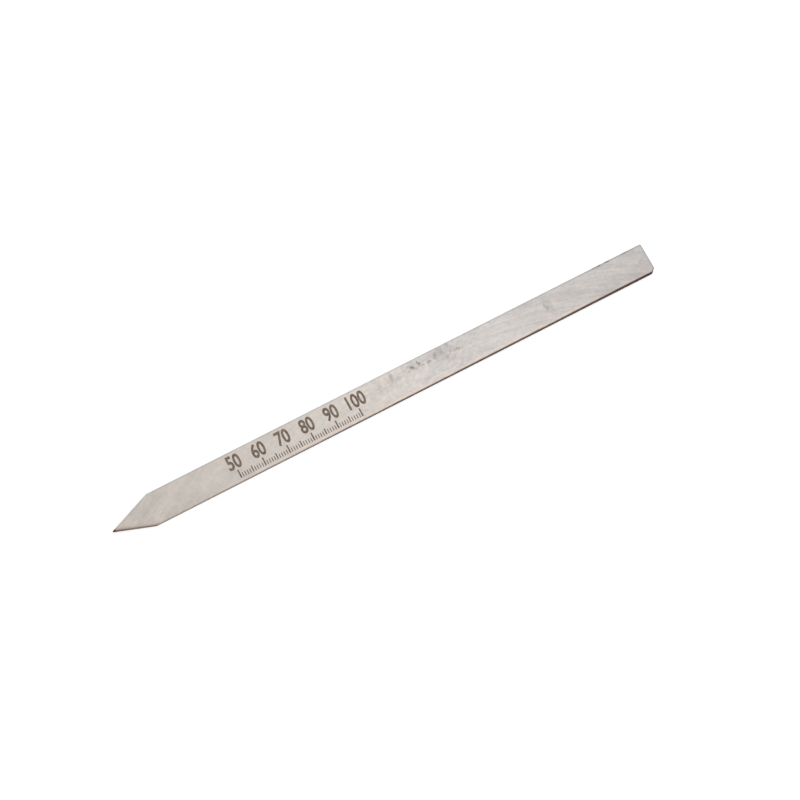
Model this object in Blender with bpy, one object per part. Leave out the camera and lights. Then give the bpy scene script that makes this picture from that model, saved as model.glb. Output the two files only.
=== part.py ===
"""A thin parting tool for wood turning, without its handle.

It is one flat bar of high-speed steel. The bar's rims are eased so that it slides along the tool rest,
its butt is cut square, and two bevels are ground across its thickness at the other end. They meet in the
cutting edge, which is as wide as the bar is thick.

The blade lies on one broad side. X runs from the cutting edge (-X) to the butt (+X), Y runs across the
blade and Z goes up through its thickness. The origin is on the surface under the middle of the blade.
"""
import math

import bmesh
import bpy
from mathutils import Vector

# Bar, in metres
LENGTH = 0.225
WIDTH = 0.012
THICKNESS = 0.002
EASED_RIM = 0.00035

# Butt: one corner is taken off slantwise and its ends are worn round, the other corner is only broken
CLIPPED_CORNER = 0.0016
CLIPPED_END_RADIUS = 0.0005
BROKEN_CORNER_RADIUS = 0.0005

# Point: how far each bevel reaches back along the blade, and how far the cutting edge lies off the middle
UPPER_BEVEL_RUN = 0.0169
LOWER_BEVEL_RUN = 0.0152
CUTTING_EDGE_OFFSET = 0.0007

# Facets of the rounded rim and of a quarter of a round corner
RIM_SEGMENTS = 5
CORNER_SEGMENTS = 8

# Finish
STEEL_COLOUR = (0.56, 0.53, 0.50, 1.0)
STEEL_ROUGHNESS = 0.38
SHARP_ANGLE = math.radians(30)


def clear_scene():
    for item in list(bpy.data.objects):
        bpy.data.objects.remove(item, do_unlink=True)


def ground_steel():
    material = bpy.data.materials.new("ground_steel")
    material.use_nodes = True
    shader = material.node_tree.nodes["Principled BSDF"]
    shader.inputs["Base Color"].default_value = STEEL_COLOUR
    shader.inputs["Metallic"].default_value = 1.0
    shader.inputs["Roughness"].default_value = STEEL_ROUGHNESS
    return material


def arc(centre, radius, start, end):
    """Points of an arc that turns left, from the angle start to the angle end."""
    steps = round(CORNER_SEGMENTS * (end - start) / (math.pi / 2))
    points = []
    for step in range(steps + 1):
        angle = start + (end - start) * step / steps
        points.append(centre + radius * Vector((math.cos(angle), math.sin(angle))))
    return points


def clipped_corner(corner):
    """Points of a corner at +X and -Y, cut at 45 degrees, with a short arc at both ends of the cut."""
    radius = CLIPPED_END_RADIUS
    back = CLIPPED_CORNER + radius * math.tan(math.pi / 8)
    slant = -math.pi / 4
    return (arc(corner + Vector((-back, radius)), radius, -math.pi / 2, slant)
            + arc(corner + Vector((-radius, back)), radius, slant, 0.0))


def bar_outline():
    """The bar from above. It starts longer than the blade by its eased rim, and grinding takes that end off."""
    butt = LENGTH / 2
    front = -LENGTH / 2 - EASED_RIM
    side = WIDTH / 2
    broken = Vector((butt - BROKEN_CORNER_RADIUS, side - BROKEN_CORNER_RADIUS))
    points = [Vector((front, -side))]
    points += clipped_corner(Vector((butt, -side)))
    points += arc(broken, BROKEN_CORNER_RADIUS, 0.0, math.pi / 2)
    points.append(Vector((front, side)))
    return points


def extrude_bar(bm):
    bottom = bm.faces.new([bm.verts.new((point.x, point.y, 0.0)) for point in bar_outline()])
    extruded = bmesh.ops.extrude_face_region(bm, geom=[bottom])
    top = [item for item in extruded["geom"] if isinstance(item, bmesh.types.BMVert)]
    bmesh.ops.translate(bm, verts=top, vec=(0.0, 0.0, THICKNESS))
    bmesh.ops.recalc_face_normals(bm, faces=bm.faces)


def ease_rims(bm):
    """Rounds the rim of both broad sides, but leaves the upright edges at the corners."""
    rims = [edge for edge in bm.edges if edge.verts[0].co.z == edge.verts[1].co.z]
    bmesh.ops.bevel(bm, geom=rims, offset=EASED_RIM, offset_type="OFFSET", affect="EDGES",
                    segments=RIM_SEGMENTS, profile=0.5, clamp_overlap=False)


def grind(bm, on_edge, shoulder, outward):
    """Takes off all that lies outside an upright plane through two points of the plan, and closes the cut."""
    along = shoulder - on_edge
    normal = Vector((-along.y, along.x, 0.0))
    if normal.y * outward < 0:
        normal.negate()
    everything = bm.verts[:] + bm.edges[:] + bm.faces[:]
    bmesh.ops.bisect_plane(bm, geom=everything, dist=1e-8, plane_co=on_edge.to_3d(), plane_no=normal,
                           clear_outer=True)
    bmesh.ops.holes_fill(bm, edges=[edge for edge in bm.edges if edge.is_boundary], sides=0)


def grind_point(bm):
    cutting_edge = Vector((-LENGTH / 2, -CUTTING_EDGE_OFFSET))
    grind(bm, cutting_edge, Vector((UPPER_BEVEL_RUN - LENGTH / 2, WIDTH / 2)), 1.0)
    grind(bm, cutting_edge, Vector((LOWER_BEVEL_RUN - LENGTH / 2, -WIDTH / 2)), -1.0)


def make_blade():
    bm = bmesh.new()
    extrude_bar(bm)
    ease_rims(bm)
    grind_point(bm)
    bmesh.ops.recalc_face_normals(bm, faces=bm.faces)
    mesh = bpy.data.meshes.new("blade")
    bm.to_mesh(mesh)
    bm.free()
    mesh.materials.append(ground_steel())
    mesh.shade_smooth()
    mesh.set_sharp_from_angle(angle=SHARP_ANGLE)
    blade = bpy.data.objects.new("blade", mesh)
    bpy.context.scene.collection.objects.link(blade)
    return blade


clear_scene()
make_blade()
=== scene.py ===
"""The looks of a thin parting tool blade for wood turning, around its CAD model.

The blade lies on a plain pale floor, seen from above, from its near side and its point, as in the photograph.
Its broad sides are surface ground in long arcs, its narrow edges keep a brown skin from hardening, and a
plain depth scale is etched on the upper side. Everything is in metres, in the CAD model's own frame.

A place on the blade is given by its distance from the cutting edge and by its offset from the middle of the
blade's width. Offsets grow from the near side, at the bottom of the picture, to the far side.
"""
import math
from collections import namedtuple
from functools import cached_property

import bmesh
import bpy
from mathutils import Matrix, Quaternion, Vector


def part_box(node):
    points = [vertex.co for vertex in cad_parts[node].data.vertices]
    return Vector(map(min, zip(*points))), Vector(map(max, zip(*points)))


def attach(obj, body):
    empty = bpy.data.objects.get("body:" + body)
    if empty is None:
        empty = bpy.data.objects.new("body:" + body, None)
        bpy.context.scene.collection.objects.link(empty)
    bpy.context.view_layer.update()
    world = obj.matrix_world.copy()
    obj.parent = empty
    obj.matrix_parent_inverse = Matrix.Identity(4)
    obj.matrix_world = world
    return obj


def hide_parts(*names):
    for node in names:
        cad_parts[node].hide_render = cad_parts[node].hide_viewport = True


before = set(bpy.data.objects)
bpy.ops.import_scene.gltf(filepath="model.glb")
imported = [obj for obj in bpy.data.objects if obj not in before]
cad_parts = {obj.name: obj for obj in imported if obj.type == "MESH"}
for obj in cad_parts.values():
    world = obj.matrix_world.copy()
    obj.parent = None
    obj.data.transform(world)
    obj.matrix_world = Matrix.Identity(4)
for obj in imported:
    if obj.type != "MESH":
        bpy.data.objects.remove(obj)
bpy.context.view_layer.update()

# A smooth change: where it starts and ends, and the values before and after it
Fade = namedtuple("Fade", "start end before after", defaults=(0.0, 1.0))

# Noise: how large its grains are each way, how many finer levels they have and how rough those are, and how
# far it swings a tone up and down, as a share of the tone
Grain = namedtuple("Grain", "size detail roughness swing", defaults=(0.0,))


def rgb(red, green, blue):
    """An opaque colour."""
    return (red, green, blue, 1.0)


# The blade in the frame
LOW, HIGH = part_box("blade")
TIP = LOW.x
BUTT = HIGH.x
TOP = HIGH.z
HALF_WIDTH = HIGH.y
NEAR = -1
FAR = 1

# The butt's near corner: how much of it is taken off along the blade, and at what slant
CLIPPED_CORNER = 0.0016
CLIPPED_SLANT = math.radians(45)

# The ground point: offset of the cutting edge, and how far the bevels reach back
CUTTING_EDGE_OFFSET = -0.0007
NEAR_BEVEL_RUN = 0.0152
FAR_BEVEL_RUN = 0.0169

# Finishes of the blade's faces, and how faces are told apart: by how level their normals are, by how far the
# normals lean to the point, and by the angles between faces
GROUND, SKIN, BEVEL, ETCHED = range(4)
LEVEL_FACE = 0.999
UPRIGHT_FACE = 0.1
BEVEL_LEAN = 0.1
SHARP_EDGE = math.radians(30)
SAME_PLANE = math.radians(0.5)
SAME_POINT = 1e-6

# The depth scale: distances of its first and last tick, offset of the ticks' feet, and its depth
MILLIMETRE = 0.001
SCALE_START = 0.050
SCALE_END = 0.100
FIRST_TICK = round(SCALE_START / MILLIMETRE)
LAST_TICK = round(SCALE_END / MILLIMETRE)
TICK_FOOT = -0.0046
ETCHED_DEPTH = 0.00003
SAME_CUTTER_POINT = 1e-7

# Length and width of the ticks at every tenth, every fifth and every millimetre
TICKS = {10: (0.0032, 0.00055), 5: (0.0024, 0.00045), 1: (0.0017, 0.00034)}

# Numbers of the depth scale: one at every tenth millimetre, the offset of their foot, the size of the type,
# and how much it is narrowed and thickened
NUMBER_EVERY = 10
NUMBER_FOOT = -0.0006
NUMBER_SIZE = 0.0074
NUMBER_NARROWING = 0.74
NUMBER_THICKENING = 0.026
NUMBER_CURVE_STEPS = 4

# Marks of the grinding wheel, in arcs about one centre beside the blade. Their grains are given from arc to
# arc, along the arcs and through the thickness.
GRINDING_CENTRE = Vector((0.021, -0.190, 0.0))
HAIRLINES = Grain((0.00007, 0.006, 0.0001), 2.0, 0.6, swing=0.16)
FINE_LINES = Grain((0.00030, 0.009, 0.0003), 2.0, 0.6, swing=0.16)
STREAKS = Grain((0.0009, 0.014, 0.0006), 3.0, 0.6, swing=0.24)
BANDS = Grain((0.0030, 0.030, 0.002), 2.0, 0.5, swing=0.16)

# Uneven tone and colour of the ground steel, whatever the arcs
MOTTLE = Grain((0.0015, 0.0013, 0.0015), 3.0, 0.6)
CLOUDS = Grain((0.008, 0.005, 0.008), 3.0, 0.6, swing=0.12)
TINGE = Grain((0.0022, 0.0018, 0.0020), 3.0, 0.6)
TINGE_SHIFT = (0.3, 0.1, 0.0)
WARMTH_WOBBLE = 0.2

# How the ground steel changes along the blade, over the distance from the cutting edge. Fades that stand
# together are added up.
MARK_STRENGTH = (
    Fade(0.0525, 0.0975, 0.38, 0.50),
    Fade(0.1225, 0.1675, 0.0, 0.50),
    Fade(0.0140, 0.0220, 0.30, 0.0),
    Fade(0.1945, 0.2205, 0.0, -0.30),
)
MOTTLE_STRENGTH = (
    Fade(0.0825, 0.1045, 0.27, 0.52),
    Fade(0.1425, 0.1625, 0.0, -0.18),
)
WARMTH = (
    Fade(0.1105, 0.1405, 0.65, 0.0),
    Fade(0.0225, 0.1125, 0.35, 0.0),
)
# Painted shade: the ground steel darkened towards the butt, where the lamp's highlight falls off
BUTT_PAINTED_SHADE = Fade(0.1685, 0.1845, 1.0, 0.945)

COOL_STEEL = rgb(0.568, 0.534, 0.511)
WARM_STEEL = rgb(0.585, 0.533, 0.484)
PINK_TINGE = rgb(1.05, 0.97, 0.99)
GREEN_TINGE = rgb(0.95, 1.03, 1.01)

# The near side's skin on the eased rim, with painted shadow where it reaches further in towards the butt: how
# far in it reaches along the blade, how its border wavers and fades, and how it narrows along the clipped
# corner, away from the near side
SKIN_AND_SHADE_REACH = (
    Fade(0.0525, 0.2425, -0.00005, 0.00035),
    Fade(0.1825, 0.2075, 0.0, 0.00006),
)
SKIN_EDGE = Grain((0.0030, 0.0006, 0.0006), 3.0, 0.6)
SKIN_WAVER = 0.0003
SKIN_BORDER = Fade(-0.00025, 0.00028, 1.0, 0.0)
CORNER_SKIN_TAPER = 0.25

# A painted highlight, a warm pale line beside that skin: its two borders, over the distance from the skin,
# its patches, and its strength along the blade
PAINTED_HIGHLIGHT_START = Fade(0.0001, 0.0005)
PAINTED_HIGHLIGHT_END = Fade(0.0007, 0.0013, 1.0, 0.0)
PAINTED_HIGHLIGHT_GRAIN = Grain((0.0019, 0.0011, 0.001), 3.0, 0.6)
PAINTED_HIGHLIGHT_PATCHES = Fade(0.38, 0.62, 0.10, 1.2)
PAINTED_HIGHLIGHT_TO_POINT = Fade(0.0225, 0.1425, 0.2, 1.0)
PAINTED_HIGHLIGHT_TO_BUTT = Fade(0.1875, 0.2075, 1.0, 0.4)
PAINTED_HIGHLIGHT_COLOUR = rgb(0.672, 0.584, 0.535)

# A warm tint along the near side: over the distance from that side, and along the blade
NEAR_TINT_WIDTH = Fade(0.0008, 0.0027, 1.0, 0.0)
NEAR_TINT_ALONG = Fade(0.0525, 0.1125)
NEAR_TINT = rgb(1.025, 0.980, 0.965)

# Borders of the near bevel: a broad blush and a dark brown band, by how far they reach in, and along the
# blade
BLUSH_REACH = 0.0019
BLUSH_ALONG = Fade(0.003, 0.008, 1.0, 0.5)
BLUSH_TINT = rgb(0.90, 0.74, 0.68)
BEVEL_DARK_BAND_REACH = 0.0012
BEVEL_DARK_BAND_FALLOFF = 3.0
BEVEL_DARK_BAND_ALONG = Fade(0.001, 0.013, 1.0, 0.70)
BEVEL_DARK_BAND_COLOUR = rgb(0.165, 0.112, 0.092)

# Painted shade, a grey band on the far rim: over the distance from the edge, along the blade, and how much
# narrower it is at the butt
FAR_RIM_SHADE_WIDTH = Fade(0.0002, 0.0009, 1.0, 0.0)
FAR_RIM_SHADE_ALONG = Fade(0.1725, 0.2065, 0.12, 0.45)
BUTT_RIM_NARROWING = 0.0001
FAR_RIM_SHADE_COLOUR = rgb(0.25, 0.26, 0.27)

# Painted shadow at the point, a dark spot: over the distance from the cutting edge, and how far its limit
# wavers
POINT_SHADOW_REACH = Fade(0.0011, 0.0018, 1.0, 0.0)
POINT_SHADOW_WAVER = 0.0006
POINT_SHADOW_ON_STEEL = rgb(0.030, 0.018, 0.015)
POINT_SHADOW_ON_BEVEL = rgb(0.030, 0.020, 0.017)

# Skin and scale on the rims: lighter at the point and in painted shade that deepens towards the butt, and
# worn in patches
SKIN_SHADE_ALONG = Fade(0.0125, 0.1125)
RIM_BUTT_SHADE_ALONG = Fade(0.2055, 0.2195)
RIM_WEAR = Grain((0.0026, 0.0014, 0.0014), 4.0, 0.65, swing=0.6)
RIM_SKIN_LIGHTER = rgb(0.272, 0.221, 0.191)
RIM_SKIN_SHADED = rgb(0.092, 0.052, 0.038)
RIM_SKIN_DEEPEST_SHADE = rgb(0.064, 0.029, 0.021)

# Stains on the upper side: distance from the cutting edge, offset, half length, half width, turn in degrees
# and depth of tone
STAINS = (
    (0.1103, 0.0012, 0.0030, 0.0010, 82, 0.13),
    (0.1155, 0.0025, 0.0026, 0.0018, 20, 0.07),
    (0.1176, 0.0015, 0.0020, 0.0010, -15, 0.13),
    (0.1250, 0.0036, 0.0036, 0.0020, -15, 0.09),
    (0.1370, 0.0030, 0.0058, 0.0034, 0, 0.17),
    (0.1390, 0.0004, 0.0036, 0.0019, 0, 0.09),
    (0.1160, 0.0034, 0.0020, 0.0008, 88, 0.36),
    (0.1172, 0.0018, 0.0011, 0.0006, -40, 0.16),
    (0.1183, 0.0024, 0.0006, 0.0004, 0, 0.18),
    (0.1215, 0.0033, 0.0009, 0.0007, 0, 0.10),
    (0.1230, 0.0023, 0.0007, 0.0005, 0, 0.24),
    (0.1249, 0.0031, 0.0018, 0.0008, -42, 0.74),
    (0.1277, 0.0035, 0.0013, 0.0007, -68, 0.62),
    (0.1290, 0.0024, 0.0007, 0.0005, 0, 0.26),
    (0.1313, 0.0024, 0.0012, 0.0007, 10, 0.42),
    (0.1345, 0.0035, 0.0018, 0.0009, 84, 0.46),
    (0.1362, 0.0050, 0.0009, 0.0007, 0, 0.36),
    (0.1375, 0.0049, 0.0009, 0.0006, 20, 0.30),
    (0.1373, 0.0034, 0.0019, 0.0010, 70, 0.38),
    (0.1384, 0.0009, 0.0013, 0.0008, 65, 0.36),
    (0.1402, 0.0050, 0.0014, 0.0011, 60, 0.28),
    (0.1400, -0.0006, 0.0012, 0.0009, 0, 0.21),
    (0.1407, 0.0023, 0.0010, 0.0008, 0, 0.42),
    (0.1420, 0.0021, 0.0009, 0.0007, 0, 0.40),
    (0.1434, 0.0020, 0.0011, 0.0007, 0, 0.46),
    (0.1450, 0.0017, 0.0008, 0.0005, 0, 0.22),
    (0.1485, 0.0015, 0.0014, 0.0007, 0, 0.17),
    (0.1808, 0.0006, 0.0017, 0.0009, -65, 0.40),
    (0.1817, 0.0010, 0.0046, 0.0018, -80, 0.16),
)

# Broad faint darker places, in the same terms
SHADES = (
    (0.0290, -0.0050, 0.0150, 0.0034, 0, 0.10),
    (0.1450, 0.0058, 0.0170, 0.0045, 0, 0.11),
    (0.1710, 0.0052, 0.0080, 0.0040, 0, 0.11),
    (0.1430, -0.0015, 0.0090, 0.0034, 0, 0.09),
    (0.2040, -0.0050, 0.0090, 0.0036, 0, 0.12),
    (0.2215, -0.0030, 0.0070, 0.0046, 0, 0.12),
)

# The form of stains and shades: how far they go below the surface, the grain of their edges, and, in their
# own sizes, how far the edges waver, where the tone is full and where it ends
STAIN_HALF_THICKNESS = 0.0005
STAIN_EDGE = Grain((0.0009, 0.0009, 0.0009), 3.0, 0.65)
SHADE_EDGE = Grain((0.0025, 0.0025, 0.0025), 3.0, 0.65)
STAIN_WAVER = 1.2
STAIN_FULL = 0.35
STAIN_END = 1.25
STAIN_COLOUR = rgb(0.155, 0.130, 0.120)

# Dark scale left on the far upper rim: distance from the cutting edge, half length and depth of tone
RIM_SCALE = (
    (0.2050, 0.0012, 0.30),
    (0.2066, 0.0007, 0.74),
    (0.2100, 0.0012, 0.66),
    (0.2174, 0.0016, 0.36),
)

# The form of that scale: over the distance from the edge, and along the blade in the terms of the stains
RIM_SCALE_WIDTH = Fade(0.0003, 0.0006, 1.0, 0.0)
RIM_SCALE_EDGE = Grain((0.0005, 0.0005, 0.0005), 2.0, 0.6)
RIM_SCALE_WAVER = 0.8
RIM_SCALE_FULL = 0.6
RIM_SCALE_END = 1.2

# Roughness of the ground steel, what its streaks and its skin add to that, and how far the hairlines stand
# out in its relief beside the other marks
STEEL_ROUGHNESS = 0.30
STREAK_ROUGHNESS = 0.15
SKIN_ROUGHNESS = 0.35
HAIRLINE_RELIEF = 0.5

# The skin on the narrow edges and the butt, between a darker and a lighter brown: patches and lengthwise
# scratches, lighter at the point and in painted shade that deepens towards the butt
SKIN_PATCHES = Grain((0.0017, 0.0014, 0.0010), 5.0, 0.7)
SKIN_SCRATCHES = Grain((0.009, 0.0002, 0.00006), 2.0, 0.6)
SCRATCH_SHARE = 0.28
EDGE_SKIN_CONTRAST = Fade(0.35, 0.70)
EDGE_SKIN_ROUGHNESS = Fade(0.2, 0.8, 0.75, 0.50)
EDGE_SKIN_SHADED = (rgb(0.042, 0.025, 0.019), rgb(0.130, 0.082, 0.063))
EDGE_SKIN_LIGHTER = (rgb(0.190, 0.148, 0.127), rgb(0.330, 0.279, 0.246))
EDGE_BUTT_SHADE_ALONG = Fade(0.1875, 0.2175)
EDGE_BUTT_SHADE_TINT = rgb(0.55, 0.50, 0.48)

# The bevels, between a darker and a lighter brown of painted shade: patches, and lines that run across the
# thickness
BEVEL_LINES = Grain((0.00005, 0.00005, 0.006), 2.0, 0.6)
BEVEL_PATCHES = Grain((0.0020, 0.0020, 0.0012), 4.0, 0.65)
BEVEL_LINE_SHARE = 0.35
BEVEL_CONTRAST = Fade(0.3, 0.7)
BEVEL_ROUGHNESS = Fade(0.2, 0.8, 0.6, 0.4)
BEVEL_SHADED_BROWNS = (rgb(0.064, 0.043, 0.034), rgb(0.136, 0.098, 0.080))

# The etched marks, between a darker and a lighter brown
ETCHED_MOTTLE = Grain((0.0011, 0.0011, 0.001), 4.0, 0.65)
ETCHED_CONTRAST = Fade(0.3, 0.7)
ETCHED_ROUGHNESS = Fade(0.3, 0.7, 0.75, 0.6)
ETCHED_STEEL = (rgb(0.125, 0.086, 0.060), rgb(0.265, 0.198, 0.147))

# The photograph's view
CAMERA_PLACE = Vector((-0.17693, -0.16870, 0.84704))
CAMERA_AIM = Vector((0.00260, -0.00534, 0.001))
CAMERA_ROLL = math.radians(19.59)
CAMERA_CLIP_START = 0.01
LENS_MM = 108.0
SENSOR_MM = 36.0

# A soft lamp above, beyond the butt and the far side
SOFTBOX_PLACE = Vector((0.210, 0.160, 0.800))
SOFTBOX_AIM = Vector((0.020, 0.0, 0.0))
SOFTBOX_SIDE = 0.24
SOFTBOX_WATTS = 0.24

# Light from all round, which changes with the Y of the direction that it comes from
NEAR_LIGHT = rgb(0.93, 0.92, 0.91)
FAR_LIGHT = rgb(0.78, 0.80, 0.82)
LIGHT_CHANGE = Fade(-0.7, 0.9)
WHITE = rgb(1.0, 1.0, 1.0)

# The floor, and how much of its own white it adds in view and in reflections
FLOOR_HALF_SIDE = 3.0
FLOOR_COLOUR = rgb(0.80, 0.80, 0.80)
FLOOR_GLOW = 0.50

# Sockets of the Mix node that hold colours
MIX_FIRST = 6
MIX_SECOND = 7
MIX_RESULT = 2


class Nodes:
    """Adds shader nodes and links them, so that a material reads as a list of steps."""

    def __init__(self, tree):
        self.tree = tree
        self.add = tree.nodes.new

    def link(self, value, socket):
        """Feeds a socket from another one, or sets its own value."""
        if isinstance(value, bpy.types.NodeSocket):
            self.tree.links.new(value, socket)
        else:
            socket.default_value = value

    def math(self, operation, first, second=0.0, third=0.0, clamp=False):
        node = self.add("ShaderNodeMath")
        node.operation = operation
        node.use_clamp = clamp
        for socket, value in zip(node.inputs, (first, second, third)):
            self.link(value, socket)
        return node.outputs["Value"]

    def chain(self, operation, values):
        """One operation on several values, from left to right."""
        result, *others = values
        for value in others:
            result = self.math(operation, result, value)
        return result

    def plus(self, *values):
        return self.chain("ADD", values)

    def minus(self, first, second):
        return self.math("SUBTRACT", first, second)

    def times(self, *values):
        return self.chain("MULTIPLY", values)

    def highest(self, *values):
        return self.chain("MAXIMUM", values)

    def lowest(self, *values):
        return self.chain("MINIMUM", values)

    def scaled(self, value, factor, offset, clamp=False):
        """The value times a factor, plus an offset."""
        return self.math("MULTIPLY_ADD", value, factor, offset, clamp)

    def swing(self, noise, amount):
        """Turns noise from 0 to 1 into a factor about 1."""
        return self.scaled(noise, 2.0 * amount, 1.0 - amount)

    def blended(self, first, second, share):
        """The first value by its share, and the second by what is left."""
        return self.scaled(first, share, self.times(second, 1.0 - share))

    def nearness(self, distance, reach):
        """1 where there is no distance, down to 0 at the reach."""
        return self.scaled(distance, -1.0 / reach, 1.0, clamp=True)

    def vector(self, operation, first, second=(0.0, 0.0, 0.0)):
        node = self.add("ShaderNodeVectorMath")
        node.operation = operation
        self.link(first, node.inputs[0])
        self.link(second, node.inputs[1])
        return node.outputs["Value" if operation == "LENGTH" else "Vector"]

    def split(self, vector):
        node = self.add("ShaderNodeSeparateXYZ")
        self.link(vector, node.inputs["Vector"])
        return node.outputs["X"], node.outputs["Y"], node.outputs["Z"]

    def combine(self, x, y, z):
        node = self.add("ShaderNodeCombineXYZ")
        for socket, value in zip(node.inputs, (x, y, z)):
            self.link(value, socket)
        return node.outputs["Vector"]

    def fade(self, value, fade):
        """The smooth change of a fade, over a value."""
        node = self.add("ShaderNodeMapRange")
        node.interpolation_type = "SMOOTHSTEP"
        sockets = ("Value", "From Min", "From Max", "To Min", "To Max")
        for name, number in zip(sockets, (value, *fade)):
            self.link(number, node.inputs[name])
        return node.outputs["Result"]

    def mix(self, factor, first, second, blend="MIX"):
        node = self.add("ShaderNodeMix")
        node.data_type = "RGBA"
        node.blend_type = blend
        self.link(factor, node.inputs["Factor"])
        self.link(first, node.inputs[MIX_FIRST])
        self.link(second, node.inputs[MIX_SECOND])
        return node.outputs[MIX_RESULT]

    def tinted(self, colour, tint):
        """The colour times a tint."""
        return self.mix(1.0, colour, tint, "MULTIPLY")

    def darkened(self, colour, tone):
        """The colour times a tone."""
        return self.tinted(colour, self.combine(tone, tone, tone))

    def between(self, tone, contrast, colours):
        """A colour between two, where the contrast says which tones are wholly the one or the other."""
        return self.mix(self.fade(tone, contrast), *colours)


class Finish(Nodes):
    """A material with its nodes, which know where a shaded place lies on the blade."""

    def __init__(self, name):
        self.material = bpy.data.materials.new(name)
        self.material.use_nodes = True
        super().__init__(self.material.node_tree)
        self.shader = self.tree.nodes["Principled BSDF"]

    @cached_property
    def place(self):
        """The shaded place, in the blade's own frame."""
        return self.add("ShaderNodeTexCoord").outputs["Object"]

    @cached_property
    def coordinates(self):
        """X, Y and Z of the place."""
        return self.split(self.place)

    @cached_property
    def from_tip(self):
        """Distance from the cutting edge."""
        return self.minus(self.coordinates[0], TIP)

    @cached_property
    def from_butt(self):
        """Distance from the butt end."""
        return self.minus(BUTT, self.coordinates[0])

    @cached_property
    def offset(self):
        """Offset from the middle of the width."""
        return self.coordinates[1]

    @cached_property
    def from_near_side(self):
        """Distance from the near side."""
        return self.plus(self.offset, HALF_WIDTH)

    @cached_property
    def from_far_side(self):
        """Distance from the far side."""
        return self.minus(HALF_WIDTH, self.offset)

    def along(self, *fades):
        """The sum of fades along the blade."""
        return self.plus(*(self.fade(self.from_tip, fade) for fade in fades))

    def noise(self, grain, place=None):
        """Noise from 0 to 1, over the blade itself or over another place."""
        if place is None:
            place = self.place
        node = self.add("ShaderNodeTexNoise")
        grains = self.vector("MULTIPLY", place, [1.0 / size for size in grain.size])
        self.link(grains, node.inputs["Vector"])
        self.link(1.0, node.inputs["Scale"])
        self.link(grain.detail, node.inputs["Detail"])
        self.link(grain.roughness, node.inputs["Roughness"])
        return node.outputs["Fac"]

    def shade(self, values):
        """Feeds the shader's sockets by their names."""
        for name, value in values.items():
            self.link(value, self.shader.inputs[name])

    def bump(self, height, strength, distance):
        """Gives the surface a relief of that distance."""
        node = self.add("ShaderNodeBump")
        self.link(height, node.inputs["Height"])
        self.link(strength, node.inputs["Strength"])
        self.link(distance, node.inputs["Distance"])
        self.link(node.outputs["Normal"], self.shader.inputs["Normal"])


def grinding_place(steel):
    """X is the distance from the grinding centre, Y the way along the arc and Z the height."""
    x, y, z = steel.split(steel.vector("SUBTRACT", steel.place, GRINDING_CENTRE))
    radius = steel.vector("LENGTH", steel.combine(x, y, 0.0))
    along = steel.times(steel.math("ARCTAN2", x, y), GRINDING_CENTRE.length)
    return steel.combine(radius, along, z)


def inside_bevel(steel, run, side):
    """How far a place lies inside the bevel that reaches back by run to the near or far side."""
    rise = HALF_WIDTH - side * CUTTING_EDGE_OFFSET
    length = math.hypot(run, rise)
    from_cutting_edge = steel.minus(steel.offset, CUTTING_EDGE_OFFSET)
    return steel.scaled(from_cutting_edge, -side * run / length, steel.times(steel.from_tip, rise / length))


def ragged_spots(steel, spots, edge, waver, full, end):
    """Depth of tone of ragged spots, each given by its distance, in its own sizes, and its own depth."""
    wobble = steel.noise(edge)
    tones = []
    for distance, depth in spots:
        ragged = steel.scaled(wobble, -2.0 * waver, steel.plus(distance, waver))
        tones.append(steel.fade(ragged, Fade(full, end, depth, 0.0)))
    return steel.highest(*tones)


def stain_tone(steel, stains, edge):
    """Depth of tone of the stains."""
    spots = []
    for distance, offset, half_length, half_width, turn, depth in stains:
        mapping = steel.add("ShaderNodeMapping")
        mapping.vector_type = "TEXTURE"
        steel.link((TIP + distance, offset, TOP), mapping.inputs["Location"])
        steel.link((0.0, 0.0, math.radians(turn)), mapping.inputs["Rotation"])
        steel.link((half_length, half_width, STAIN_HALF_THICKNESS), mapping.inputs["Scale"])
        steel.link(steel.place, mapping.inputs["Vector"])
        spots.append((steel.vector("LENGTH", mapping.outputs["Vector"]), depth))
    return ragged_spots(steel, spots, edge, STAIN_WAVER, STAIN_FULL, STAIN_END)


def rim_scale_tone(steel):
    """Depth of tone of the scale left on the far upper rim."""
    spots = []
    for distance, half_length, depth in RIM_SCALE:
        sizes_away = steel.math("DIVIDE", steel.minus(steel.from_tip, distance), half_length)
        spots.append((steel.math("ABSOLUTE", sizes_away), depth))
    return ragged_spots(steel, spots, RIM_SCALE_EDGE, RIM_SCALE_WAVER, RIM_SCALE_FULL, RIM_SCALE_END)


def blackened_point(steel, wobble):
    """Where the point carries painted shadow, up to a limit that wavers."""
    return steel.fade(steel.scaled(wobble, POINT_SHADOW_WAVER, steel.from_tip), POINT_SHADOW_REACH)


def skin_cover(steel):
    """Where the near side's dark skin lies on the eased rim, with painted shadow where it reaches further in
    towards the butt, and the painted highlight beside it.
    """
    from_side = steel.from_near_side
    from_corner = steel.minus(steel.plus(from_side, steel.from_butt), CLIPPED_CORNER)
    from_corner = steel.times(from_corner, math.sin(CLIPPED_SLANT))
    from_corner = steel.scaled(from_side, CORNER_SKIN_TAPER, from_corner)
    reach = steel.scaled(steel.noise(SKIN_EDGE), SKIN_WAVER, steel.along(*SKIN_AND_SHADE_REACH))
    from_skin = steel.minus(steel.lowest(from_side, from_corner), reach)
    painted_highlight = steel.times(
        steel.fade(from_skin, PAINTED_HIGHLIGHT_START),
        steel.fade(from_skin, PAINTED_HIGHLIGHT_END),
        steel.fade(steel.noise(PAINTED_HIGHLIGHT_GRAIN), PAINTED_HIGHLIGHT_PATCHES),
        steel.along(PAINTED_HIGHLIGHT_TO_POINT),
        steel.along(PAINTED_HIGHLIGHT_TO_BUTT),
    )
    return steel.fade(from_skin, SKIN_BORDER), painted_highlight


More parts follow.
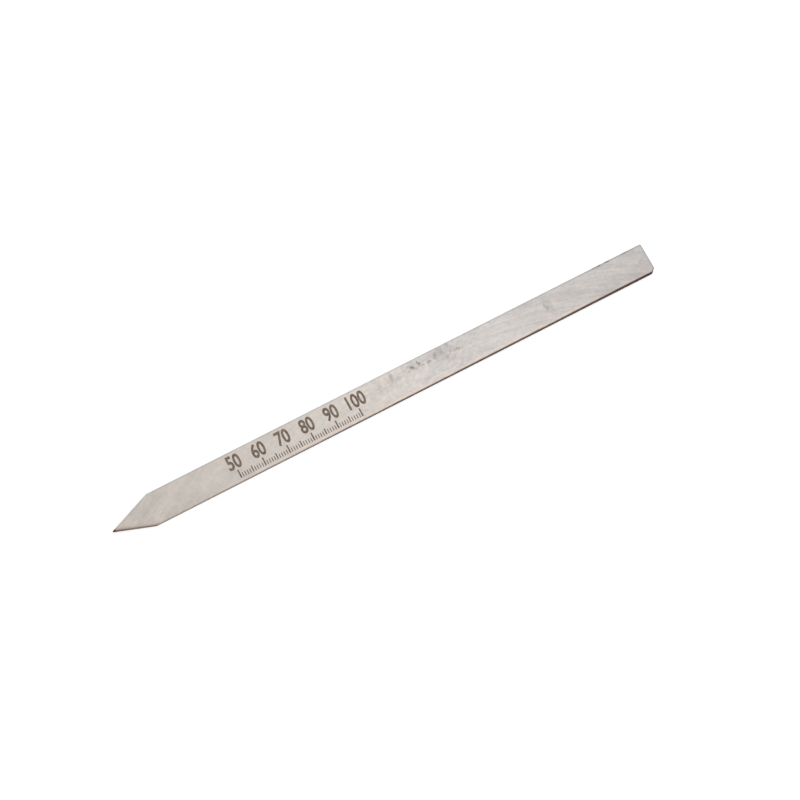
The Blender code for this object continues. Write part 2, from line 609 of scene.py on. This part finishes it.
def clean_colour(steel, clouds):
    """Colour of the clean steel, warmer towards the point and of a slightly uneven tinge."""
    wobble = steel.scaled(clouds, 2.0 * WARMTH_WOBBLE, -WARMTH_WOBBLE)
    warmth = steel.math("ADD", steel.along(*WARMTH), wobble, clamp=True)
    tinge = steel.noise(TINGE, steel.vector("ADD", steel.place, TINGE_SHIFT))
    colour = steel.mix(warmth, COOL_STEEL, WARM_STEEL)
    return steel.tinted(colour, steel.mix(tinge, PINK_TINGE, GREEN_TINGE))


def with_near_tint(steel, colour):
    """Adds the warm tint along the near side."""
    tint = steel.times(steel.fade(steel.from_near_side, NEAR_TINT_WIDTH), steel.along(NEAR_TINT_ALONG))
    return steel.mix(tint, colour, steel.tinted(colour, NEAR_TINT))


def with_near_bevel_border(steel, colour):
    """Adds the blush and the dark brown band along the near bevel."""
    from_bevel = inside_bevel(steel, NEAR_BEVEL_RUN, NEAR)
    blush = steel.times(steel.nearness(from_bevel, BLUSH_REACH), steel.along(BLUSH_ALONG))
    colour = steel.mix(blush, colour, steel.tinted(colour, BLUSH_TINT))
    dark_band = steel.math("POWER", steel.nearness(from_bevel, BEVEL_DARK_BAND_REACH), BEVEL_DARK_BAND_FALLOFF)
    return steel.mix(steel.times(dark_band, steel.along(BEVEL_DARK_BAND_ALONG)), colour, BEVEL_DARK_BAND_COLOUR)


def rim_skin_colour(steel, point):
    """Colour of the skin and scale on the rims, in painted shade that deepens towards the butt, and of the
    painted shadow at the point.
    """
    colour = steel.mix(steel.along(SKIN_SHADE_ALONG), RIM_SKIN_LIGHTER, RIM_SKIN_SHADED)
    colour = steel.mix(steel.along(RIM_BUTT_SHADE_ALONG), colour, RIM_SKIN_DEEPEST_SHADE)
    colour = steel.darkened(colour, steel.swing(steel.noise(RIM_WEAR), RIM_WEAR.swing))
    return steel.mix(point, colour, POINT_SHADOW_ON_STEEL)


# The ground steel carries a painted highlight along the near rim, and painted shade and shadow at the butt,
# far rim, near rim and point
def ground_steel():
    """Broad sides and rims: ground in arcs, stained, tinted and darkened as in the photograph."""
    steel = Finish("ground_steel")
    arcs = grinding_place(steel)
    hairlines = steel.noise(HAIRLINES, arcs)
    fine_lines = steel.noise(FINE_LINES, arcs)
    streaks = steel.noise(STREAKS, arcs)
    bands = steel.noise(BANDS, arcs)
    mottle = steel.noise(MOTTLE)
    clouds = steel.noise(CLOUDS)
    marks = steel.times(
        steel.swing(fine_lines, FINE_LINES.swing),
        steel.swing(streaks, STREAKS.swing),
        steel.swing(bands, BANDS.swing),
    )
    tone = steel.times(
        steel.scaled(steel.minus(marks, 1.0), steel.along(*MARK_STRENGTH), 1.0),
        steel.swing(hairlines, HAIRLINES.swing),
        steel.scaled(steel.minus(mottle, 0.5), steel.along(*MOTTLE_STRENGTH), 1.0),
        steel.swing(clouds, CLOUDS.swing),
        steel.along(BUTT_PAINTED_SHADE),
    )
    near_skin_and_shade, painted_highlight = skin_cover(steel)
    colour = steel.darkened(clean_colour(steel, clouds), tone)
    # Painted highlight: a warm pale line beside the near skin
    colour = steel.mix(painted_highlight, colour, PAINTED_HIGHLIGHT_COLOUR)
    colour = with_near_tint(steel, colour)
    colour = steel.mix(stain_tone(steel, SHADES, SHADE_EDGE), colour, STAIN_COLOUR)
    colour = steel.mix(stain_tone(steel, STAINS, STAIN_EDGE), colour, STAIN_COLOUR)
    colour = with_near_bevel_border(steel, colour)

    from_far_rim = steel.lowest(
        steel.from_far_side,
        inside_bevel(steel, FAR_BEVEL_RUN, FAR),
        steel.plus(steel.from_butt, BUTT_RIM_NARROWING),
    )
    # Painted shade: a grey band along the far rim
    far_rim_shade = steel.times(steel.fade(from_far_rim, FAR_RIM_SHADE_WIDTH), steel.along(FAR_RIM_SHADE_ALONG))
    colour = steel.mix(far_rim_shade, colour, FAR_RIM_SHADE_COLOUR)
    rim_scale = steel.times(steel.fade(from_far_rim, RIM_SCALE_WIDTH), rim_scale_tone(steel))

    point = blackened_point(steel, mottle)
    # Real skin and scale, with painted shadow along the near rim and at the point
    skin = steel.highest(rim_scale, near_skin_and_shade, point)
    streak_roughness = steel.scaled(streaks, STREAK_ROUGHNESS, STEEL_ROUGHNESS)
    steel.shade({
        "Base Color": steel.mix(skin, colour, rim_skin_colour(steel, point)),
        "Roughness": steel.scaled(skin, SKIN_ROUGHNESS, streak_roughness),
        "Metallic": steel.minus(1.0, skin),
        "Specular IOR Level": 0.10,
    })
    relief = steel.scaled(hairlines, HAIRLINE_RELIEF, steel.plus(fine_lines, streaks))
    steel.bump(relief, strength=0.25, distance=0.000004)
    return steel.material


def hardening_skin():
    """Narrow edges and butt: the brown skin from hardening, patchy and scratched lengthwise, in painted shade
    that deepens towards the butt.
    """
    skin = Finish("hardening_skin")
    tone = skin.blended(skin.noise(SKIN_SCRATCHES), skin.noise(SKIN_PATCHES), SCRATCH_SHARE)
    lighter_skin = skin.between(tone, EDGE_SKIN_CONTRAST, EDGE_SKIN_LIGHTER)
    colour = skin.mix(skin.along(SKIN_SHADE_ALONG), lighter_skin, skin.between(tone, EDGE_SKIN_CONTRAST, EDGE_SKIN_SHADED))
    # Painted shade, deepest at the butt
    butt_shade = skin.tinted(colour, EDGE_BUTT_SHADE_TINT)
    skin.shade({
        "Base Color": skin.mix(skin.along(EDGE_BUTT_SHADE_ALONG), colour, butt_shade),
        "Roughness": skin.fade(tone, EDGE_SKIN_ROUGHNESS),
        "Metallic": 0.35,
        "Specular IOR Level": 0.10,
    })
    skin.bump(tone, strength=0.3, distance=0.00001)
    return skin.material


def ground_bevel():
    """The two bevels of the point: ground across the thickness, brown with painted shade, and with painted
    shadow at the cutting edge.
    """
    bevel = Finish("ground_bevel")
    lines = bevel.noise(BEVEL_LINES)
    patches = bevel.noise(BEVEL_PATCHES)
    tone = bevel.blended(lines, patches, BEVEL_LINE_SHARE)
    colour = bevel.between(tone, BEVEL_CONTRAST, BEVEL_SHADED_BROWNS)
    bevel.shade({
        "Base Color": bevel.mix(blackened_point(bevel, patches), colour, POINT_SHADOW_ON_BEVEL),
        "Roughness": bevel.fade(tone, BEVEL_ROUGHNESS),
        "Metallic": 0.5,
        "Specular IOR Level": 0.15,
    })
    bevel.bump(lines, strength=0.3, distance=0.000006)
    return bevel.material


def etched_mark():
    """Floors and walls of the etched marks: dull brown."""
    mark = Finish("etched_mark")
    mottle = mark.noise(ETCHED_MOTTLE)
    mark.shade({
        "Base Color": mark.between(mottle, ETCHED_CONTRAST, ETCHED_STEEL),
        "Roughness": mark.fade(mottle, ETCHED_ROUGHNESS),
        "Metallic": 0.0,
        "Specular IOR Level": 0.3,
    })
    return mark.material


def finished_mesh(bm, name):
    """Turns a mesh in the making into a finished one."""
    mesh = bpy.data.meshes.new(name)
    bm.to_mesh(mesh)
    bm.free()
    return mesh


def evaluated_mesh(piece):
    """A new mesh of what an object's settings and modifiers make of it."""
    bpy.context.view_layer.update()
    return bpy.data.meshes.new_from_object(piece.evaluated_get(bpy.context.evaluated_depsgraph_get()))


def add_object(name, data):
    """Puts a new object into the scene."""
    added = bpy.data.objects.new(name, data)
    bpy.context.scene.collection.objects.link(added)
    return added


def slab(bm, low, high):
    """A box between two corners."""
    for vert in bmesh.ops.create_cube(bm, size=1.0)["verts"]:
        vert.co = (low + high) / 2 + vert.co * (high - low)


def ticks_mesh():
    """The ticks of the depth scale, as slabs that reach down to the etched depth."""
    bm = bmesh.new()
    for millimetres in range(FIRST_TICK, LAST_TICK + 1):
        length, width = next(size for every, size in TICKS.items() if millimetres % every == 0)
        x = TIP + millimetres * MILLIMETRE
        low = Vector((x - width / 2, TICK_FOOT, TOP - ETCHED_DEPTH))
        high = Vector((x + width / 2, TICK_FOOT + length, TOP + ETCHED_DEPTH))
        slab(bm, low, high)
    return finished_mesh(bm, "ticks")


def number_mesh(millimetres):
    """A plain number of the depth scale, centred over its tick."""
    curve = bpy.data.curves.new("number", "FONT")
    curve.body = str(millimetres)
    curve.align_x = "CENTER"
    curve.size = NUMBER_SIZE
    curve.offset = NUMBER_THICKENING * NUMBER_SIZE
    curve.extrude = ETCHED_DEPTH
    curve.resolution_u = NUMBER_CURVE_STEPS
    text = add_object("number", curve)
    text.location = (TIP + millimetres * MILLIMETRE, NUMBER_FOOT, TOP)
    text.scale.x = NUMBER_NARROWING
    mesh = evaluated_mesh(text)
    mesh.transform(text.matrix_world)
    bpy.data.objects.remove(text)
    return mesh


def make_scale_cutter(material):
    """Ticks and numbers in one mesh with the etched finish."""
    meshes = [ticks_mesh()]
    for millimetres in range(FIRST_TICK, LAST_TICK + 1, NUMBER_EVERY):
        meshes.append(number_mesh(millimetres))
    bm = bmesh.new()
    for mesh in meshes:
        bm.from_mesh(mesh)
        bpy.data.meshes.remove(mesh)
    bmesh.ops.remove_doubles(bm, verts=bm.verts, dist=SAME_CUTTER_POINT)
    bmesh.ops.recalc_face_normals(bm, faces=bm.faces)
    cutter = finished_mesh(bm, "scale_cutter")
    cutter.materials.append(material)
    return add_object("scale_cutter", cutter)


def cleaned_blade():
    """The CAD blade as one welded mesh, its flat sides one face each."""
    bm = bmesh.new()
    bm.from_mesh(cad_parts["blade"].data)
    bmesh.ops.remove_doubles(bm, verts=bm.verts, dist=SAME_POINT)
    bmesh.ops.dissolve_limit(bm, angle_limit=SAME_PLANE, verts=bm.verts, edges=bm.edges)
    return bm


def finish_of(normal):
    """The finish of a face: broad sides and rims are ground, and of the upright faces only the bevels are."""
    if abs(normal.z) >= UPRIGHT_FACE:
        return GROUND
    return BEVEL if normal.x < -BEVEL_LEAN else SKIN


def assign_finishes(bm):
    """Gives each face its finish, and rounds the shading of all but the level faces and the sharp edges."""
    for face in bm.faces:
        face.material_index = finish_of(face.normal)
        face.smooth = abs(face.normal.z) <= LEVEL_FACE
    for edge in bm.edges:
        if len(edge.link_faces) == 2:
            rounded = all(face.smooth for face in edge.link_faces)
            edge.smooth = rounded and edge.calc_face_angle() < SHARP_EDGE


def etch(blade, cutter):
    """Cuts the depth scale into the blade, with the cutter's finish in the cuts."""
    boolean = blade.modifiers.new("etching", "BOOLEAN")
    boolean.operation = "DIFFERENCE"
    boolean.solver = "EXACT"
    boolean.material_mode = "TRANSFER"
    boolean.object = cutter
    etched = evaluated_mesh(blade)
    blade.modifiers.clear()
    blade.data = etched
    bpy.data.objects.remove(cutter)


def make_blade():
    """The blade with its finishes and its depth scale, in the place of the CAD blade."""
    bm = cleaned_blade()
    assign_finishes(bm)
    mesh = finished_mesh(bm, "parting_blade")
    for material in (ground_steel(), hardening_skin(), ground_bevel(), etched_mark()):
        mesh.materials.append(material)
    blade = add_object("parting_blade", mesh)
    etch(blade, make_scale_cutter(mesh.materials[ETCHED]))
    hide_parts("blade")
    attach(blade, "root")


def make_floor():
    """A pale floor that looks white in view and in reflections, and keeps the blade's shadow."""
    bm = bmesh.new()
    bmesh.ops.create_grid(bm, x_segments=1, y_segments=1, size=FLOOR_HALF_SIDE)
    mesh = finished_mesh(bm, "floor")
    finish = Finish("floor")
    rays = finish.add("ShaderNodeLightPath").outputs
    seen = finish.highest(rays["Is Camera Ray"], rays["Is Glossy Ray"], rays["Is Transmission Ray"])
    finish.shade({
        "Base Color": FLOOR_COLOUR,
        "Roughness": 1.0,
        "Specular IOR Level": 0.0,
        "Emission Color": WHITE,
        "Emission Strength": finish.times(seen, FLOOR_GLOW),
    })
    mesh.materials.append(finish.material)
    add_object("floor", mesh)


def make_world():
    """Plain light from all round, and white behind the floor in view."""
    world = bpy.data.worlds.new("studio")
    bpy.context.scene.world = world
    world.use_nodes = True
    nodes = Nodes(world.node_tree)
    background = world.node_tree.nodes["Background"]
    _, y, _ = nodes.split(nodes.add("ShaderNodeTexCoord").outputs["Generated"])
    light = nodes.between(y, LIGHT_CHANGE, (NEAR_LIGHT, FAR_LIGHT))
    seen = nodes.add("ShaderNodeLightPath").outputs["Is Camera Ray"]
    nodes.link(nodes.mix(seen, light, WHITE), background.inputs["Color"])
    background.inputs["Strength"].default_value = 1.0


def aim(looker, target, roll=0.0):
    """Turns a lamp or a camera from its place to its target."""
    looker.rotation_mode = "QUATERNION"
    straight = (target - looker.location).to_track_quat("-Z", "Y")
    looker.rotation_quaternion = straight @ Quaternion((0.0, 0.0, 1.0), roll)


def make_softbox():
    light = bpy.data.lights.new("overhead_softbox", "AREA")
    light.shape = "SQUARE"
    light.size = SOFTBOX_SIDE
    light.energy = SOFTBOX_WATTS
    lamp = add_object("overhead_softbox", light)
    lamp.location = SOFTBOX_PLACE
    aim(lamp, SOFTBOX_AIM)


def make_camera():
    data = bpy.data.cameras.new("camera")
    data.sensor_width = SENSOR_MM
    data.lens = LENS_MM
    data.clip_start = CAMERA_CLIP_START
    camera = add_object("camera", data)
    camera.location = CAMERA_PLACE
    aim(camera, CAMERA_AIM, CAMERA_ROLL)
    bpy.context.scene.camera = camera


make_blade()
make_floor()
make_world()
make_softbox()
make_camera()
bpy.context.scene.view_settings.view_transform = "Standard"
